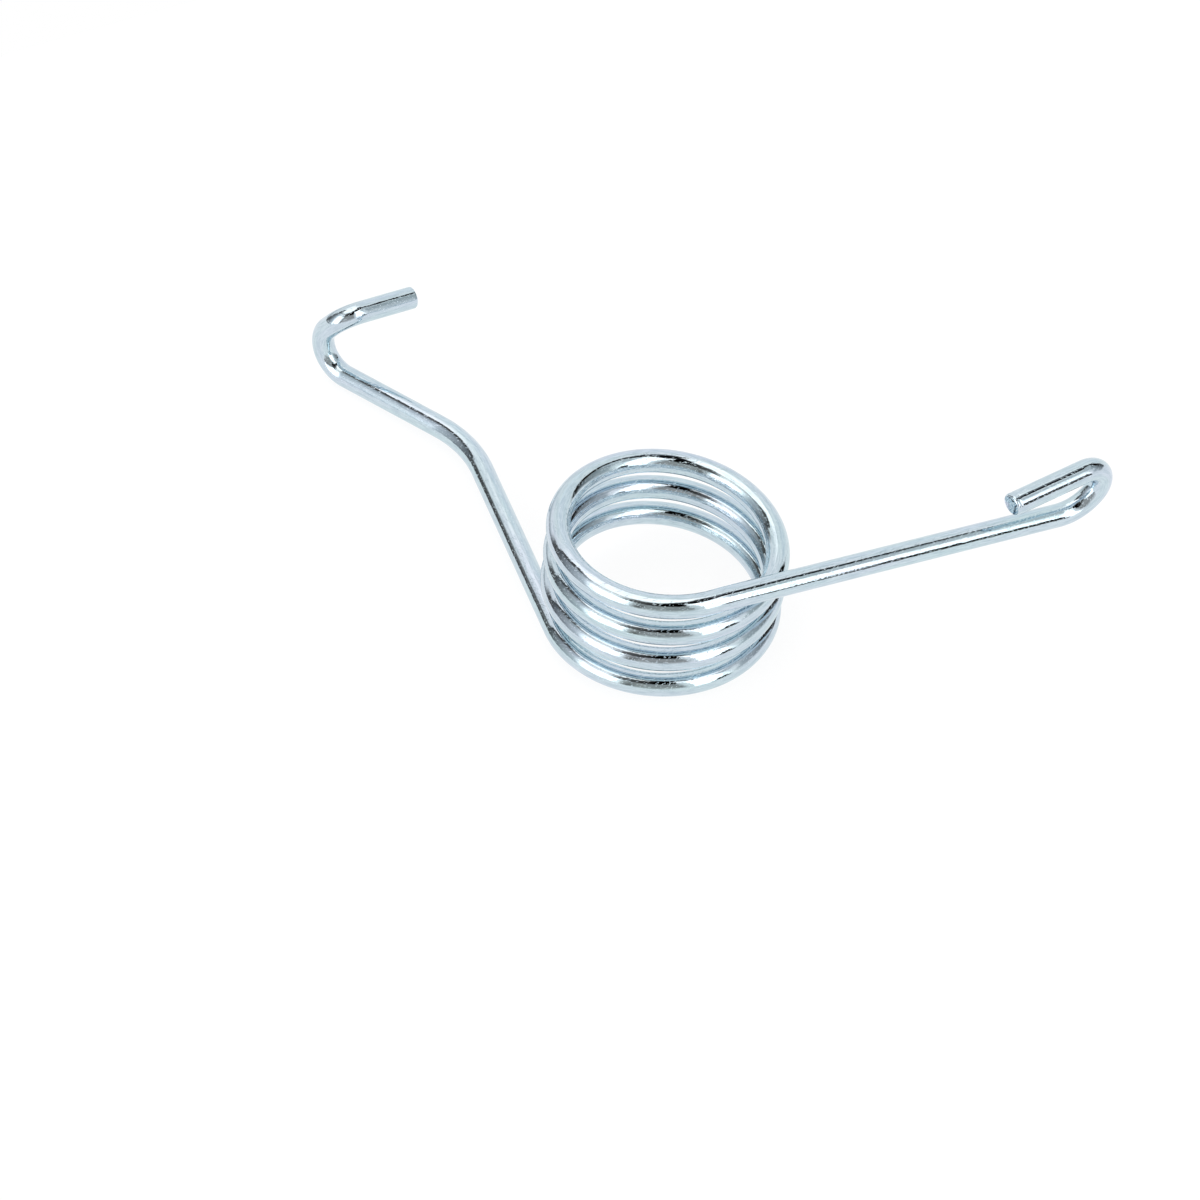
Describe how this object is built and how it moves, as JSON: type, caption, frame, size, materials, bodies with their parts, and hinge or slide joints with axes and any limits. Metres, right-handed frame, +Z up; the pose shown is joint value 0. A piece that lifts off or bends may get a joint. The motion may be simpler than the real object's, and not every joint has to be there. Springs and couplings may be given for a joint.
{
  "type": "return spring",
  "caption": "Open-wound torsion return spring bent from round wire: a straight arm with a folded-back hook and a dog-legged arm with a raised end that crosses sideways.",
  "frame": {"origin": "the point where the coil's axis meets the surface that the spring lies on", "axes": "+Z up from the surface that it lies on, +X along the upper arm seen from above, +Y away from it towards the lower arm's raised end"},
  "size_m": [0.0794, 0.0779, 0.0185],
  "materials": {
    "zinc_plated_wire": "bright zinc plate, drawn wire"
  },
  "bodies": {
    "root": {"return_spring": "zinc_plated_wire"}
  },
  "joints": []
}
